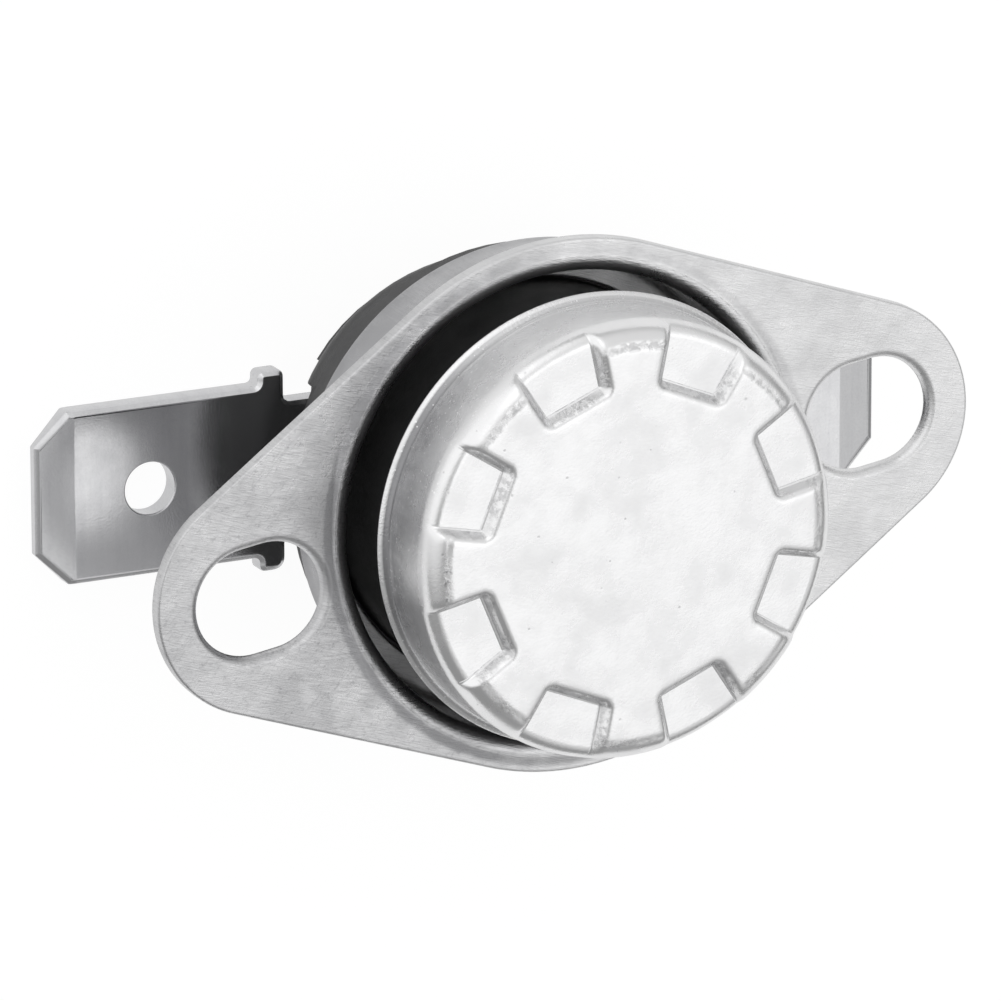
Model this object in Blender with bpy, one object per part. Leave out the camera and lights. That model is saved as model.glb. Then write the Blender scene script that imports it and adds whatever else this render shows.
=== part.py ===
import math

import bmesh
import bpy

# All sizes are in millimetres and turned into metres as the meshes are made.
mm = 0.001

# How many steps a round piece has
full_turn = 2 * math.pi
round_steps = 72
inner_steps = 40
small_steps = 20

# Turns: the body against the bracket, and the first recess against the terminals
body_turn_deg = -8.8
recess_turn_deg = 22.5

# Heights along the axis, from the lowest face of the base upwards
seat_z = 1.47
body_h = 4.33
neck_h = 5.70
cap_h = 3.56
collar_lift = 0.10

# Small gaps between pieces, and how far a cutter goes past the wall it cuts
seat_gap = 0.05
press_gap = 0.06
pin_gap = 0.10
cut_past = 0.50

# Sensing cap
cap_r = 7.85
cap_sheet = 0.35
cap_edge_r = 1.00
cap_rim_out = 0.30
cap_rim_h = 0.50
recess_count = 8
recess_in_r = 5.75
recess_half_deg = 10.5
recess_depth = 0.45
recess_slope = 0.30

# Moulded base
neck_r = 7.28
front_h = 1.30
flange_r = 8.30
flange_h = 1.05
rear_r = 7.30
rear_round = 1.00
cavity_r = 5.60
floor_t = 1.83
wall_r = 6.25
wall_half_y = 3.50
barrier_half_x = 0.60
notch_x = 6.05
notch_half_y = 3.30
notch_h = 1.25

# Loose mounting bracket
hole_pitch = 23.80
slot_r = 1.94
slot_half = 0.43
slot_coin = 0.25
slot_coin_depth = 0.12
ear_x = 11.58
ear_r = 4.22
waist_r = 9.64
plate_t = 0.50
plate_edge = 0.08
collar_in_r = 8.40
collar_t = 0.45
collar_h = 4.00
collar_roll = 0.70
collar_turn_in = 1.00
collar_corner = 0.70
collar_floor_r = 0.40

# Blade terminals
blade_w = 6.30
blade_t = 0.80
blade_tip_x = 16.50
tip_cut_x = 1.20
tip_cut_y = 1.20
tip_bevel_len = 1.45
tip_bevel_t = 0.22
side_bevel_w = 0.30
side_bevel_t = 0.14
blade_hole_x = 12.20
blade_hole_r = 0.95
shoulder_x = 7.00
shoulder_len = 1.00
shoulder_out = 0.52
root_half_w = 2.50
root_end_x = 2.20

# Rivets
rivet_x = 3.70
rivet_r = 0.95
rivet_bore_r = 0.50
rivet_rear_r = 1.60
rivet_rear_t = 0.45
rivet_front_r = 1.15
rivet_front_t = 0.30

# Contact arm and fixed strip
arm_t = 0.20
arm_w = 3.00
arm_z = 1.60
arm_tip_x = 3.60
strip_t = 0.40
strip_w = 2.80
contact_x = 2.40
contact_r = 1.00
contact_t = 0.50
contact_shank_r = 0.50
contact_tail_r = 0.75
contact_tail_t = 0.28

# Guide plate, disc and pin
guide_t = 0.60
guide_rim_h = 0.40
guide_rim_w = 1.40
guide_boss_r = 1.90
guide_boss_h = 2.40
disc_r = 6.30
disc_t = 0.20
disc_rise = 0.30
disc_play = 0.25
pin_r = 0.80

# Values that follow from the ones above
shoulder_z = seat_z + body_h
rim_z = shoulder_z + neck_h
face_z = rim_z + cap_h
front_z = rim_z + front_h
cap_in_r = cap_r - cap_sheet
front_r = cap_in_r - press_gap
floor_z = seat_z + floor_t
collar_z = shoulder_z + collar_lift
plate_z = collar_z + collar_h
collar_hole_r = collar_in_r - collar_turn_in
pad_z = floor_z + seat_gap
arm_under_z = pad_z + arm_z
contact_z = arm_under_z + arm_t + seat_gap
fixed_face_z = contact_z + contact_t + seat_gap
strip_under_z = fixed_face_z + contact_t + seat_gap
guide_z = front_z + seat_gap
disc_z = guide_z + guide_t + guide_rim_h + seat_gap
pin_top_z = disc_z + disc_rise - disc_play


def clear_scene():
    for item in list(bpy.data.objects):
        bpy.data.objects.remove(item, do_unlink=True)


def material(name, colour, metallic, roughness):
    made = bpy.data.materials.new(name)
    made.use_nodes = True
    shader = made.node_tree.nodes["Principled BSDF"]
    shader.inputs["Base Color"].default_value = (*colour, 1.0)
    shader.inputs["Metallic"].default_value = metallic
    shader.inputs["Roughness"].default_value = roughness
    return made


def add_object(name, mesh_data, finish=None, parent=None):
    bmesh.ops.recalc_face_normals(mesh_data, faces=mesh_data.faces)
    mesh = bpy.data.meshes.new(name)
    mesh_data.to_mesh(mesh)
    mesh_data.free()
    item = bpy.data.objects.new(name, mesh)
    bpy.context.scene.collection.objects.link(item)
    if finish is not None:
        mesh.materials.append(finish)
    if parent is not None:
        item.parent = parent
    return item


def add_cutter(name, mesh_data, parent=None):
    item = add_object(name, mesh_data, None, parent)
    item.hide_render = True
    item.display_type = "WIRE"
    return item


def boolean(item, other, operation):
    change = item.modifiers.new(other.name, "BOOLEAN")
    change.operation = operation
    change.solver = "EXACT"
    change.object = other


def smooth(item):
    for face in item.data.polygons:
        face.use_smooth = True


def arc(centre_r, centre_z, radius, start_deg, end_deg, steps):
    points = []
    for step in range(steps + 1):
        angle = math.radians(start_deg + (end_deg - start_deg) * step / steps)
        points.append((centre_r + radius * math.cos(angle), centre_z + radius * math.sin(angle)))
    return points


# Turns a closed profile of (radius, height) points round the upright axis.
def lathe(profile, segments, into=None, centre_x=0.0):
    made = into or bmesh.new()
    rings = []
    for radius, height in profile:
        if radius < 1e-6:
            rings.append([made.verts.new((centre_x * mm, 0.0, height * mm))])
            continue
        ring = []
        for step in range(segments):
            angle = full_turn * step / segments
            x = (centre_x + radius * math.cos(angle)) * mm
            y = radius * math.sin(angle) * mm
            ring.append(made.verts.new((x, y, height * mm)))
        rings.append(ring)
    for index, ring in enumerate(rings):
        following = rings[(index + 1) % len(rings)]
        join_rings(made, ring, following, segments)
    return made


def join_rings(made, ring, following, segments):
    if len(ring) == 1 and len(following) == 1:
        return
    for step in range(segments):
        after = (step + 1) % segments
        if len(ring) == 1:
            made.faces.new((ring[0], following[step], following[after]))
        elif len(following) == 1:
            made.faces.new((ring[step], ring[after], following[0]))
        else:
            made.faces.new((ring[step], ring[after], following[after], following[step]))


# Joins outlines of equal point count, one above the other, and closes both ends.
def loft(layers, into=None):
    made = into or bmesh.new()
    rings = []
    for outline, height in layers:
        rings.append([made.verts.new((x * mm, y * mm, height * mm)) for x, y in outline])
    count = len(rings[0])
    for lower, upper in zip(rings, rings[1:]):
        for step in range(count):
            after = (step + 1) % count
            made.faces.new((lower[step], lower[after], upper[after], upper[step]))
    made.faces.new(list(reversed(rings[0])))
    made.faces.new(rings[-1])
    return made


def prism(outline, low, high, into=None):
    return loft([(outline, low), (outline, high)], into)


def box_outline(low_x, high_x, low_y, high_y):
    return [(low_x, low_y), (high_x, low_y), (high_x, high_y), (low_x, high_y)]


# Makes a bar whose side view in X and Z is given by points.
def side_prism(points, half_width, into=None):
    made = into or bmesh.new()
    near = [made.verts.new((x * mm, -half_width * mm, z * mm)) for x, z in points]
    far = [made.verts.new((x * mm, half_width * mm, z * mm)) for x, z in points]
    count = len(points)
    for step in range(count):
        after = (step + 1) % count
        made.faces.new((near[step], near[after], far[after], far[step]))
    made.faces.new(list(reversed(near)))
    made.faces.new(far)
    return made


# Sensing cap


def cap_shell_profile():
    edge_z = face_z - cap_edge_r
    rim_r = cap_r + cap_rim_out
    outer = [(0.0, face_z)]
    outer += arc(cap_r - cap_edge_r, edge_z, cap_edge_r, 90, 0, 7)
    outer += [
        (cap_r, rim_z + cap_rim_h),
        (cap_r + 0.35 * cap_rim_out, rim_z + 0.62 * cap_rim_h),
        (rim_r - 0.06, rim_z + 0.40 * cap_rim_h),
        (rim_r, rim_z + 0.22 * cap_rim_h),
        (rim_r - 0.04, rim_z),
    ]
    inner = [
        (cap_in_r + 0.55 * cap_rim_out, rim_z),
        (cap_in_r, rim_z + 0.70 * cap_rim_h),
    ]
    inner += arc(cap_r - cap_edge_r, edge_z, cap_edge_r - cap_sheet, 0, 90, 4)
    inner += [(0.0, face_z - cap_sheet)]
    return outer + inner


def recess_outline(inner_r, outer_r, grow):
    half = math.radians(recess_half_deg)
    inner_y = inner_r * math.tan(half) + grow
    outer_y = outer_r * math.tan(half) + grow
    return [
        (inner_r - grow, -inner_y),
        (outer_r, -outer_y),
        (outer_r, outer_y),
        (inner_r - grow, inner_y),
    ]


def turned(outline, angle):
    cos, sin = math.cos(angle), math.sin(angle)
    return [(x * cos - y * sin, x * sin + y * cos) for x, y in outline]


# Blocks for all recesses; low and high are each an outer radius, a height and a growth.
def recess_wedges(low, high):
    made = bmesh.new()
    for index in range(recess_count):
        angle = math.radians(recess_turn_deg) + full_turn * index / recess_count
        layers = []
        for outer_r, height, grow in (low, high):
            layers.append((turned(recess_outline(recess_in_r, outer_r, grow), angle), height))
        loft(layers, made)
    return made


def make_cap(finish, parent):
    cap = add_object("sensing_cap", lathe(cap_shell_profile(), round_steps), finish, parent)
    floor = face_z - recess_depth
    in_sheet_r = cap_r - cap_sheet
    boss_low = (in_sheet_r, floor - cap_sheet, 0.10)
    boss_high = (in_sheet_r - 0.25 * cap_edge_r, face_z - 0.75 * cap_sheet, recess_slope + 0.04)
    boss = recess_wedges(boss_low, boss_high)
    rise = 0.5 * cap_sheet
    grow = recess_slope * (recess_depth + rise) / recess_depth
    cut = recess_wedges((cap_r + cut_past, floor, 0.0), (cap_r + cut_past, face_z + rise, grow))
    boolean(cap, add_cutter("cap_boss_add", boss, parent), "UNION")
    boolean(cap, add_cutter("cap_recess_cut", cut, parent), "DIFFERENCE")
    smooth(cap)


# Moulded base


def base_profile():
    taper_z = shoulder_z - flange_h
    points = [
        (0.0, front_z),
        (front_r - 0.2, front_z),
        (front_r, front_z - 0.2),
        (front_r, rim_z + 0.15),
        (neck_r, rim_z - 0.05),
        (neck_r, shoulder_z),
        (flange_r - 0.12, shoulder_z),
        (flange_r, shoulder_z - 0.12),
        (flange_r, taper_z),
        (rear_r, taper_z - 0.5 * flange_h),
    ]
    points += arc(rear_r - rear_round, seat_z + rear_round, rear_round, 0, -90, 6)
    points += [(0.0, seat_z)]
    return points


def crescent_outline(side):
    start = math.asin(wall_half_y / wall_r)
    points = []
    for step in range(17):
        angle = start + (math.pi - 2 * start) * step / 16
        points.append((wall_r * math.cos(angle), side * wall_r * math.sin(angle)))
    return points if side > 0 else list(reversed(points))


def rear_walls():
    made = bmesh.new()
    top = seat_z + 0.4 * floor_t
    for side in (1, -1):
        outline = crescent_outline(side)
        tucked = [(x * 0.97, y * 0.985) for x, y in outline]
        loft([(tucked, 0.0), (outline, 0.15), (outline, top)], made)
    return made


def barrier():
    reach = wall_half_y + 0.6
    return prism(box_outline(-barrier_half_x, barrier_half_x, -reach, reach), 0.25, seat_z + 0.3 * floor_t)


def base_cavity():
    top = front_z + cut_past
    return lathe([(0.0, floor_z), (cavity_r, floor_z), (cavity_r, top), (0.0, top)], inner_steps)


def base_rivet_holes():
    made = bmesh.new()
    hole_r = rivet_r + seat_gap
    low, high = seat_z - cut_past, floor_z + cut_past
    for side in (1, -1):
        profile = [(0.0, low), (hole_r, low), (hole_r, high), (0.0, high)]
        lathe(profile, small_steps, made, side * rivet_x)
    return made


def side_notches():
    made = bmesh.new()
    for side in (1, -1):
        outer = rear_r + cut_past
        low_x, high_x = sorted((side * notch_x, side * outer))
        outline = box_outline(low_x, high_x, -notch_half_y, notch_half_y)
        prism(outline, seat_z - cut_past, seat_z + notch_h, made)
    return made


def make_base(finish, parent):
    base = add_object("base", lathe(base_profile(), round_steps), finish, parent)
    boolean(base, add_cutter("base_rear_walls", rear_walls(), parent), "UNION")
    boolean(base, add_cutter("base_barrier", barrier(), parent), "UNION")
    boolean(base, add_cutter("base_notch_cut", side_notches(), parent), "DIFFERENCE")
    boolean(base, add_cutter("base_cavity_cut", base_cavity(), parent), "DIFFERENCE")
    boolean(base, add_cutter("base_rivet_cut", base_rivet_holes(), parent), "DIFFERENCE")
    smooth(base)


# Loose mounting bracket


# Two ears joined to the waist circle by straight edges that touch both.
def plate_outline(grow):
    lean = math.acos((waist_r - ear_r) / ear_x)
    points = []
    for centre, radius, start, end, steps in (
        (ear_x, ear_r, -lean, lean, 20),
        (0.0, waist_r, lean, math.pi - lean, 16),
        (-ear_x, ear_r, math.pi - lean, math.pi + lean, 20),
        (0.0, waist_r, math.pi + lean, full_turn - lean, 16),
    ):
        for step in range(steps + 1):
            angle = start + (end - start) * step / steps
            x = centre + (radius + grow) * math.cos(angle)
            y = (radius + grow) * math.sin(angle)
            points.append((x, y))
    return points


def slot_outline(centre, grow):
    points = []
    for side, start in ((1, -0.5 * math.pi), (-1, 0.5 * math.pi)):
        for step in range(13):
            angle = start + math.pi * step / 12
            x = centre + side * slot_half + (slot_r + grow) * math.cos(angle)
            points.append((x, (slot_r + grow) * math.sin(angle)))
    return points


def slot_cutters():
    made = bmesh.new()
    for side in (1, -1):
        centre = side * 0.5 * hole_pitch
        plain = slot_outline(centre, 0.0)
        rise = 0.1
        grow = slot_coin * (slot_coin_depth + rise) / slot_coin_depth
        layers = [
            (plain, plate_z - plate_t - cut_past),
            (plain, plate_z - slot_coin_depth),
            (slot_outline(centre, grow), plate_z + rise),
        ]
        loft(layers, made)
    return made


def collar_profile():
    outer_r = collar_in_r + collar_t
    fillet = 0.25
    under_z = plate_z - plate_t
    points = [(0.0, plate_z - 0.5 * plate_t), (outer_r + fillet, plate_z - 0.5 * plate_t)]
    points += arc(outer_r + fillet, under_z - fillet, fillet, 90, 180, 4)
    points += arc(outer_r - collar_corner, collar_z + collar_corner, collar_corner, 0, -90, 5)
    points += [(0.0, collar_z)]
    return points


def opening_profile():
    shelf_z = collar_z + collar_t
    points = [(0.0, plate_z + cut_past), (collar_in_r + collar_roll, plate_z + cut_past)]
    points += arc(collar_in_r + collar_roll, plate_z - collar_roll, collar_roll, 90, 180, 8)
    points += arc(collar_in_r - collar_floor_r, shelf_z + collar_floor_r, collar_floor_r, 0, -90, 5)
    points += [(collar_hole_r, shelf_z), (collar_hole_r, collar_z - cut_past), (0.0, collar_z - cut_past)]
    return points


def make_bracket(finish):
    layers = [
        (plate_outline(0.0), plate_z - plate_t),
        (plate_outline(0.0), plate_z - plate_edge),
        (plate_outline(-plate_edge), plate_z),
    ]
    bracket = add_object("mounting_bracket", loft(layers), finish)
    boolean(bracket, add_cutter("bracket_collar_add", lathe(collar_profile(), round_steps)), "UNION")
    boolean(bracket, add_cutter("bracket_opening_cut", lathe(opening_profile(), round_steps)), "DIFFERENCE")
    boolean(bracket, add_cutter("bracket_slot_cut", slot_cutters()), "DIFFERENCE")
    smooth(bracket)


# Blade terminals


def blade_outline():
    half = 0.5 * blade_w
    out = half + shoulder_out
    cut = 0.4 * shoulder_out
    upper = [
        (root_end_x, root_half_w - 0.5),
        (root_end_x + 0.5, root_half_w),
        (shoulder_x - 0.15, root_half_w),
        (shoulder_x, half - 0.2),
        (shoulder_x, out - cut),
        (shoulder_x + cut, out),
        (shoulder_x + shoulder_len - 0.1, out),
        (shoulder_x + shoulder_len, half + 0.12),
        (shoulder_x + shoulder_len + 0.15, half),
        (blade_tip_x - tip_cut_x, half),
        (blade_tip_x, half - tip_cut_y),
    ]
    lower = [(x, -y) for x, y in reversed(upper)]
    return lower + upper


# Wedges that thin the tip on both faces.
def tip_bevels(low, high):
    made = bmesh.new()
    half = 0.5 * blade_w
    start = blade_tip_x - tip_bevel_len
    past = blade_tip_x + cut_past
    slope = tip_bevel_t / tip_bevel_len
    for face, way in ((high, 1), (low, -1)):
        points = [
            (start, face),
            (past, face - way * slope * (past - start)),
            (past, face + way),
            (start, face + way),
        ]
        side_prism(points, half + cut_past, made)
    return made


# Wedges that ease both long edges on both faces.
def long_bevels(low, high):
    made = bmesh.new()
    first = shoulder_x + shoulder_len + 0.6
    for side in (1, -1):
        for face, way in ((high, 1), (low, -1)):
            edge_wedge(made, first, blade_tip_x + cut_past, side, face, way)
    return made


def edge_wedge(made, first, last, side, face, way):
    half = 0.5 * blade_w
    corners = [
        (side * (half - side_bevel_w), face),
        (side * (half + side_bevel_w), face - 2.0 * way * side_bevel_t),
        (side * (half + side_bevel_w), face + way),
        (side * (half - side_bevel_w), face + way),
    ]
    near = [made.verts.new((first * mm, y * mm, z * mm)) for y, z in corners]
    far = [made.verts.new((last * mm, y * mm, z * mm)) for y, z in corners]
    for step in range(4):
        after = (step + 1) % 4
        made.faces.new((near[step], near[after], far[after], far[step]))
    made.faces.new(list(reversed(near)))
    made.faces.new(far)


def make_terminal(name, turn, finish, parent):
    high = seat_z - seat_gap
    low = high - blade_t
    blade = add_object(name, prism(blade_outline(), low, high), finish, parent)
    holes = bmesh.new()
    for x, radius in ((blade_hole_x, blade_hole_r), (rivet_x, rivet_r + seat_gap)):
        bottom, top = low - cut_past, high + cut_past
        profile = [(0.0, bottom), (radius, bottom), (radius, top), (0.0, top)]
        lathe(profile, small_steps, holes, x)
    blade.rotation_euler = (0.0, 0.0, turn)
    cuts = (("_edge_cut", long_bevels(low, high)), ("_tip_cut", tip_bevels(low, high)), ("_hole_cut", holes))
    for ending, cut in cuts:
        cutter = add_cutter(name + ending, cut, parent)
        cutter.rotation_euler = (0.0, 0.0, turn)
        boolean(blade, cutter, "DIFFERENCE")


def make_rivet(name, side, pad_t, finish, parent):
    head_z = seat_z - 2 * seat_gap - blade_t
    pad_top = pad_z + pad_t + seat_gap
    profile = [
        (rivet_bore_r, head_z - rivet_rear_t),
        (rivet_rear_r - 0.35, head_z - rivet_rear_t),
        (rivet_rear_r - 0.08, head_z - 0.6 * rivet_rear_t),
        (rivet_rear_r, head_z - 0.2 * rivet_rear_t),
        (rivet_rear_r, head_z),
        (rivet_r, head_z),
        (rivet_r, pad_top),
        (rivet_front_r, pad_top),
        (rivet_front_r, pad_top + 0.5 * rivet_front_t),
        (rivet_front_r - 0.25, pad_top + rivet_front_t),
        (rivet_bore_r, pad_top + rivet_front_t),
    ]
    rivet = add_object(name, lathe(profile, small_steps), finish, parent)
    rivet.location.x = side * rivet_x * mm


# Switch parts inside the base


def leaf_holes(thickness, rivet_side, pad_low, contact_low):
    made = bmesh.new()
    for x, radius, low in (
        (rivet_side * rivet_x, rivet_r + seat_gap, pad_low),
        (contact_x, contact_shank_r + seat_gap, contact_low),
    ):
        bottom, top = low - cut_past, low + thickness + cut_past
        lathe([(0.0, bottom), (radius, bottom), (radius, top), (0.0, top)], small_steps, made, x)
    return made


def make_arm(finish, parent):
    reach = rivet_x + rivet_front_r + 0.3
    bend = rivet_x - rivet_front_r - 0.3
    knee = bend - 1.4
    low, high = pad_z, arm_under_z
    points = [
        (-reach, low),
        (-bend, low),
        (-knee, high),
        (arm_tip_x, high),
        (arm_tip_x, high + arm_t),
        (-knee - 0.08, high + arm_t),
        (-bend - 0.12, low + arm_t),
        (-reach, low + arm_t),
    ]
    arm = add_object("contact_arm", side_prism(points, 0.5 * arm_w), finish, parent)
    holes = leaf_holes(arm_t, -1, low, high)
    boolean(arm, add_cutter("contact_arm_hole_cut", holes, parent), "DIFFERENCE")


def make_strip(finish, parent):
    outer = rivet_x + rivet_front_r + 0.08 + strip_t
    first = rivet_x - rivet_front_r - 0.1
    tip = contact_x - contact_r - 0.1
    low, high = pad_z, strip_under_z
    points = [
        (first, low),
        (outer, low),
        (outer, high + strip_t),
        (tip, high + strip_t),
        (tip, high),
        (outer - strip_t, high),
        (outer - strip_t, low + strip_t),
        (first, low + strip_t),
    ]
    strip = add_object("fixed_strip", side_prism(points, 0.5 * strip_w), finish, parent)
    holes = leaf_holes(strip_t, 1, low, high)
    boolean(strip, add_cutter("fixed_strip_hole_cut", holes, parent), "DIFFERENCE")


# A contact rivet: a domed head on one face of the leaf and a tail on the other.
def make_contact(name, leaf_low, leaf_t, head_way, finish, parent):
    leaf_high = leaf_low + leaf_t
    head_base = leaf_high + seat_gap if head_way > 0 else leaf_low - seat_gap
    tail_base = leaf_low - seat_gap if head_way > 0 else leaf_high + seat_gap
    profile = [
        (0.0, head_base + head_way * contact_t),
        (0.6 * contact_r, head_base + head_way * contact_t),
        (contact_r, head_base + head_way * 0.7 * contact_t),
        (contact_r, head_base),
        (contact_shank_r, head_base),
        (contact_shank_r, tail_base),
        (contact_tail_r, tail_base),
        (contact_tail_r, tail_base - head_way * 0.6 * contact_tail_t),
        (0.6 * contact_tail_r, tail_base - head_way * contact_tail_t),
        (0.0, tail_base - head_way * contact_tail_t),
    ]
    button = add_object(name, lathe(profile, small_steps), finish, parent)
    button.location.x = contact_x * mm


def make_guide(finish, parent):
    hole_r = pin_r + pin_gap
    rim_top = guide_z + guide_t + guide_rim_h
    rim_in = front_r - guide_rim_w
    profile = [
        (hole_r, guide_z - guide_boss_h),
        (guide_boss_r, guide_z - guide_boss_h),
        (guide_boss_r, guide_z),
        (front_r, guide_z),
        (front_r, rim_top - 0.2),
        (front_r - 0.2, rim_top),
        (rim_in, rim_top),
        (rim_in, guide_z + guide_t),
        (hole_r, guide_z + guide_t),
    ]
    smooth(add_object("disc_guide", lathe(profile, inner_steps), finish, parent))


def make_disc(finish, parent):
    steps = 4
    under, over = [], []
    for step in range(steps + 1):
        share = step / steps
        height = disc_z + disc_rise * (1 - share * share)
        under.append((disc_r * share, height))
        over.append((disc_r * share, height + disc_t))
    profile = under + list(reversed(over))
    smooth(add_object("bimetal_disc", lathe(profile, inner_steps), finish, parent))


def make_pin(finish, parent):
    low = arm_under_z + arm_t + seat_gap
    edge = 0.15
    profile = [
        (0.0, low),
        (pin_r - edge, low),
        (pin_r, low + edge),
        (pin_r, pin_top_z - edge),
        (pin_r - edge, pin_top_z),
        (0.0, pin_top_z),
    ]
    smooth(add_object("push_pin", lathe(profile, small_steps), finish, parent))


def main():
    clear_scene()
    aluminium = material("pressed_aluminium", (0.86, 0.86, 0.87), 1.0, 0.32)
    steel = material("brushed_steel", (0.70, 0.70, 0.71), 1.0, 0.38)
    black = material("black_moulding", (0.028, 0.028, 0.030), 0.0, 0.42)
    tinned = material("tinned_blade", (0.72, 0.72, 0.73), 1.0, 0.22)
    rivet_metal = material("rivet_metal", (0.75, 0.74, 0.70), 1.0, 0.30)
    ceramic = material("white_ceramic", (0.85, 0.83, 0.78), 0.0, 0.50)
    phenolic = material("brown_phenolic", (0.22, 0.10, 0.05), 0.0, 0.50)
    bimetal = material("bimetal", (0.62, 0.58, 0.50), 1.0, 0.30)
    bronze = material("spring_bronze", (0.80, 0.50, 0.28), 1.0, 0.28)
    silver = material("contact_silver", (0.90, 0.89, 0.86), 1.0, 0.20)

    body = bpy.data.objects.new("body_axis", None)
    bpy.context.scene.collection.objects.link(body)
    body.rotation_euler = (0.0, 0.0, math.radians(body_turn_deg))

    make_cap(aluminium, body)
    make_base(black, body)
    make_bracket(steel)
    make_terminal("terminal_right", 0.0, tinned, body)
    make_terminal("terminal_left", math.pi, tinned, body)
    make_rivet("rivet_right", 1, strip_t, rivet_metal, body)
    make_rivet("rivet_left", -1, arm_t, rivet_metal, body)
    make_arm(bronze, body)
    make_strip(bronze, body)
    make_contact("moving_contact", arm_under_z, arm_t, 1, silver, body)
    make_contact("fixed_contact", strip_under_z, strip_t, -1, silver, body)
    make_guide(phenolic, body)
    make_disc(bimetal, body)
    make_pin(ceramic, body)


main()
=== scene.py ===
import bmesh
import bpy
import math
from functools import partial
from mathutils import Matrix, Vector


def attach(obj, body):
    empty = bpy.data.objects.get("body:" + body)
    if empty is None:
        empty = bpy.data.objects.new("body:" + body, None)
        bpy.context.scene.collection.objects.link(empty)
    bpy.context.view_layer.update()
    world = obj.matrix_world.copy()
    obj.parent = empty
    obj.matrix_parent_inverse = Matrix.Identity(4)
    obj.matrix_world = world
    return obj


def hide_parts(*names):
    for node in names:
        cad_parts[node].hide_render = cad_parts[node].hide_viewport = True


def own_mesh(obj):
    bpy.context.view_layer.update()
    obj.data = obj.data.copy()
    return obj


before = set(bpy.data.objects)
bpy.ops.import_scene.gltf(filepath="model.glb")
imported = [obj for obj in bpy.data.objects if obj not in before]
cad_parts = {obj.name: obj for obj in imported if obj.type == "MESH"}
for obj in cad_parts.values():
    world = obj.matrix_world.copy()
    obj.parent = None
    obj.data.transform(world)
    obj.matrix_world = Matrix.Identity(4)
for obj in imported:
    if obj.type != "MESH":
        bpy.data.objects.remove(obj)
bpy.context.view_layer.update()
mm = 0.001
print("frame loaded:", len(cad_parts), "nodes")


# Camera, at the photo's angle
cameraView = {
    "place": (-122.50, 115.23, 293.30),  # mm from the origin
    "turn": (-16.669, -25.683, -8.964),  # degrees
    "lens": 340.74,
    "sensor": 36.0,
    "clip": (0.01, 10.0),  # metres
}


def addCamera():
    data = bpy.data.cameras.new("photoCamera")
    data.lens = cameraView["lens"]
    data.sensor_width = cameraView["sensor"]
    data.clip_start, data.clip_end = cameraView["clip"]
    camera = bpy.data.objects.new("photoCamera", data)
    camera.location = [v * mm for v in cameraView["place"]]
    camera.rotation_euler = [math.radians(v) for v in cameraView["turn"]]
    bpy.context.scene.collection.objects.link(camera)
    bpy.context.scene.camera = camera


addCamera()
print("camera set")

bodyTurn = math.radians(-8.8)  # the body is turned in its bracket


# Shared mesh tools. Sizes are in millimetres until the points are placed.
def placed(x, y, z, turn=0.0):
    c, s = math.cos(turn), math.sin(turn)
    return ((x * c - y * s) * mm, (x * s + y * c) * mm, z * mm)


def joinRows(made, first, second):
    count = len(first)
    for k in range(count):
        after = (k + 1) % count
        made.faces.new((first[k], first[after], second[after], second[k]))


def addRow(made, points, turn=0.0):
    return [made.verts.new(placed(x, y, z, turn)) for x, y, z in points]


def ringEdges(made, row):
    return [made.edges.get((row[k], row[(k + 1) % len(row)])) for k in range(len(row))]


# A closed sheet: each stack of rows is one rim, running from the upper face to the lower one
def closedSheet(made, stacks):
    upper, lower = [], []
    for stack in stacks:
        rows = [addRow(made, points) for points in stack]
        for first, second in zip(rows, rows[1:]):
            joinRows(made, first, second)
        upper += ringEdges(made, rows[0])
        lower += ringEdges(made, rows[-1])
    bmesh.ops.triangle_fill(made, use_beauty=True, edges=upper)
    bmesh.ops.triangle_fill(made, use_beauty=True, edges=lower)


def finishPiece(name, made, material, body, node, sharpDeg=32.0):
    bmesh.ops.recalc_face_normals(made, faces=made.faces)
    mesh = bpy.data.meshes.new(name)
    made.to_mesh(mesh)
    made.free()
    mesh.shade_smooth()
    mesh.set_sharp_from_angle(angle=math.radians(sharpDeg))
    mesh.materials.append(material)
    piece = bpy.data.objects.new(name, mesh)
    bpy.context.scene.collection.objects.link(piece)
    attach(piece, body)
    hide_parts(node)
    return piece


def arcPoints(centreR, centreZ, radius, start, end, steps):
    points = []
    for k in range(steps + 1):
        a = math.radians(start + (end - start) * k / steps)
        points.append((centreR + radius * math.cos(a), centreZ + radius * math.sin(a)))
    return points


# Node tree tools
def newMaterial(name, metallic=0.0):
    material = bpy.data.materials.new(name)
    material.use_nodes = True
    tree = material.node_tree
    shader = tree.nodes["Principled BSDF"]
    shader.inputs["Metallic"].default_value = metallic
    return material, tree, shader


def addNode(tree, kind, inputs=None, **values):
    node = tree.nodes.new(kind)
    for key, value in values.items():
        setattr(node, key, value)
    for key, value in (inputs or {}).items():
        if isinstance(value, bpy.types.NodeSocket):
            tree.links.new(value, node.inputs[key])
        else:
            node.inputs[key].default_value = value
    return node


def newGroup(name, inputs, outputs):
    group = bpy.data.node_groups.new(name, "ShaderNodeTree")
    for label, value in inputs:
        kind = "NodeSocketVector" if isinstance(value, tuple) else "NodeSocketFloat"
        socket = group.interface.new_socket(label, in_out="INPUT", socket_type=kind)
        socket.default_value = value
    for label in outputs:
        group.interface.new_socket(label, in_out="OUTPUT", socket_type="NodeSocketFloat")
    return group, group.nodes.new("NodeGroupInput"), group.nodes.new("NodeGroupOutput")


def place(tree, group, **values):
    node = tree.nodes.new("ShaderNodeGroup")
    node.node_tree = group
    for key, value in values.items():
        node.inputs[key].default_value = value
    return node


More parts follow.
